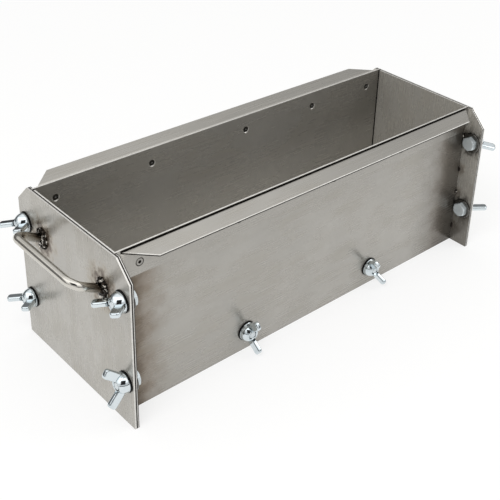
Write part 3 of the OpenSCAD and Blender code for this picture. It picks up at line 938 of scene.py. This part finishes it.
FLOOR_SIZE = 8.0
FLOOR_DROP = 0.0002
FLOOR_GLOW = 0.72
FLOOR_NEAR = 0.5
FLOOR_FAR = 2.5
FLOOR_TONE = (0.88, 0.88, 0.875)
SKY_TONE = (1.0, 0.995, 0.98)
BOX_SIDE = Vector((-0.45, -0.62, 0.62)).normalized()
BOX_HALF = 0.78
BOX_GAIN = 0.55
FLAG_HALF = 0.36
BOX_BLUR = 0.03
KEY_PLACE = (-1.3, -0.6, 1.9)
KEY_SIZE = (1.2, 1.0)
KEY_POWER = 24
FILL_PLACE = (1.4, -1.0, 1.2)
FILL_SIZE = (0.9, 0.9)
FILL_POWER = 6


def add_floor():
    """A pale floor that takes the object's shadow, and turns the background's white farther out."""
    bm = bmesh.new()
    bmesh.ops.create_grid(bm, x_segments=1, y_segments=1, size=FLOOR_SIZE / 2)
    floor = made("floor", bm)
    floor.location.z = -FLOOR_DROP
    s = Shader(bpy.data.materials.new("floor_white"))
    diffuse = s.add("ShaderNodeBsdfDiffuse")
    diffuse.inputs["Color"].default_value = rgba(FLOOR_TONE)
    glow = s.add("ShaderNodeEmission")
    glow.inputs["Color"].default_value = rgba(WHITE)
    rays = s.add("ShaderNodeLightPath").outputs
    seen = s.chain("MAXIMUM", [rays["Is Camera Ray"], rays["Is Glossy Ray"], rays["Is Transmission Ray"]])
    radius = s.vector_math("DISTANCE", s.place, (0, 0, 0))
    share = s.math("MULTIPLY", seen, s.span(radius, FLOOR_NEAR, FLOOR_FAR, FLOOR_GLOW, 1.0))
    floor.data.materials.append(s.surface(s.blend(share, diffuse.outputs[0], glow.outputs[0])))


def background(s, colour, strength):
    """A world's shader of one colour, with a plain strength or one from a socket."""
    node = s.add("ShaderNodeBackground")
    node.inputs["Color"].default_value = rgba(colour)
    s.plug(node.inputs["Strength"], strength)
    return node.outputs[0]


def add_world():
    """White for what is seen and an even sky for light. What shiny parts mirror is bright overhead and
    greyer towards a dark horizon, with one square softbox that has a dark flag in its middle."""
    world = bpy.data.worlds.new("studio")
    bpy.context.scene.world = world
    s = Shader(world, "ShaderNodeOutputWorld")
    height = s.vector_math("DOT_PRODUCT", s.direction, AXES["z"])
    across = BOX_SIDE.cross(Vector((0, 0, 1))).normalized()
    sides = [s.vector_math("DOT_PRODUCT", s.direction, axis) for axis in (across, across.cross(BOX_SIDE))]
    square = s.chain("MAXIMUM", [s.math("ABSOLUTE", side) for side in sides])
    ahead = s.math("GREATER_THAN", s.vector_math("DOT_PRODUCT", s.direction, BOX_SIDE), 0.0)
    softbox = s.math("MULTIPLY", ahead, s.span(square, BOX_HALF, BOX_HALF - BOX_BLUR, 0, BOX_GAIN))
    flag = s.math("MULTIPLY", ahead, s.span(square, FLAG_HALF, FLAG_HALF - BOX_BLUR, 0, 0.98))
    light = background(s, SKY_TONE, s.span(height, 0.0, 0.9, 0.62, 0.9))
    sky = s.math("ADD", s.span(height, 0.42, 0.58, 0.20, 0.75), s.span(height, 0.56, 0.85, 0.0, 0.35))
    horizon = s.span(height, 0.07, 0.14, 0.05, 1.0)
    mirrored = s.chain("MULTIPLY", [s.math("ADD", sky, softbox), horizon, s.inverse(flag)])
    rays = s.add("ShaderNodeLightPath").outputs
    glossy = s.math("MAXIMUM", rays["Is Glossy Ray"], rays["Is Transmission Ray"])
    lit = s.blend(glossy, light, background(s, WHITE, mirrored))
    s.surface(s.blend(rays["Is Camera Ray"], lit, background(s, WHITE, 1.0)))


def add_light(name, place, size, power, mirrored=True):
    """A soft lamp aimed at the middle, which shiny parts mirror or not."""
    data = bpy.data.lights.new(name, "AREA")
    data.shape = "RECTANGLE"
    data.size, data.size_y = size
    data.energy = power
    lamp = bpy.data.objects.new(name, data)
    bpy.context.scene.collection.objects.link(lamp)
    lamp.location = place
    lamp.rotation_euler = (-Vector(place)).to_track_quat("-Z", "Y").to_euler()
    lamp.visible_glossy = mirrored


# Assembly

BAR_R = 0.00475
LEG_DROP = 0.0495
PART_GAP = 0.012


def middles(values):
    """The middle of each run of values, where a step longer than PART_GAP starts a new run."""
    values = sorted(values)
    starts = [0] + [k for k in range(1, len(values)) if values[k] - values[k - 1] > PART_GAP]
    ends = starts[1:] + [len(values)]
    return [(values[start] + values[end - 1]) / 2 for start, end in zip(starts, ends)]


def tack_places():
    """Middles of the tack welds of one corner, one above another."""
    heights = [v.co.z for v in NODES["ear_welds_far"].data.vertices if v.co.x > 0]
    return [Vector((EAR_X, WALL_OUT_Y, height)) for height in middles(heights)]


def rivet_places():
    """Middles of the rivets of one wall, side by side."""
    low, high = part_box("rivets_far")
    places = [v.co.x for v in NODES["rivets_far"].data.vertices]
    return [Vector((place, 0, (low.z + high.z) / 2)) for place in middles(places)]


def dress_nodes(material):
    """Gives each CAD node that stays in view its material."""
    shown = {
        "side_wall": "wall", "base_tray": "tray", "top_angle": "angle", "ear_near": "ear", "ear_far": "ear",
        "end_plate": "end", "end_liner": "liner", "rivets": "rivet", "handle_left": "bar",
        "handle_right": "bar",
    }
    for name, node in NODES.items():
        for start, key in shown.items():
            if name.startswith(start):
                node.data.materials[0] = material[key]


def main():
    bpy.context.scene.view_settings.view_transform = "Standard"
    add_camera()
    add_world()
    add_floor()
    add_light("key", KEY_PLACE, KEY_SIZE, KEY_POWER, mirrored=False)
    add_light("fill", FILL_PLACE, FILL_SIZE, FILL_POWER)
    tacks = tack_places()
    bolts = [Vector((EAR_X, spot.y, spot.z)) for axis, spot, washer in bolt_places("right") if spot.y > 0]
    leg = Vector((PLATE_HIGH.x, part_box("handle_right")[1].y - BAR_R, PLATE_HIGH.z - LEG_DROP))
    material = {
        "wall": wall_steel(tacks),
        "tray": tray_steel(),
        "angle": angle_steel(),
        "ear": ear_steel(tacks, bolts),
        "end": end_steel([leg]),
        "liner": liner_steel(),
        "bolt": zinc("bolt_zinc", tone=0.66, rough=0.09, metallic=0.45),
        "nut": zinc("nut_zinc", tone=0.74, rough=0.07),
        # The washers under the nuts are near-black, partly painted shade of the gap under each nut; the
        # spacers under the bolt heads are darker grey, partly painted shade round each head.
        "washer": dark_metal("washer_dark", tone=0.014, warmth=0.0, rough=0.35),
        "spacer": dark_metal("spacer_grey", tone=0.13, warmth=0.06, rough=0.2),
        "rivet": rivet_metal(rivet_places()),
        "weld": weld_metal(),
        "bar": bar_steel(),
    }
    dress_nodes(material)
    for end in ("left", "right"):
        add_bolts(end, material)
        add_weld("leg_weld_" + end, "handle_welds_" + end, end + "_end", material["weld"], LEG_VOXEL,
                 LEG_RELIEF)
    for side in ("near", "far"):
        add_bolts(side, material)
        add_weld("tack_" + side, "ear_welds_" + side, "frame", material["weld"], TACK_VOXEL, TACK_RELIEF)
    add_nuts(material)


main()
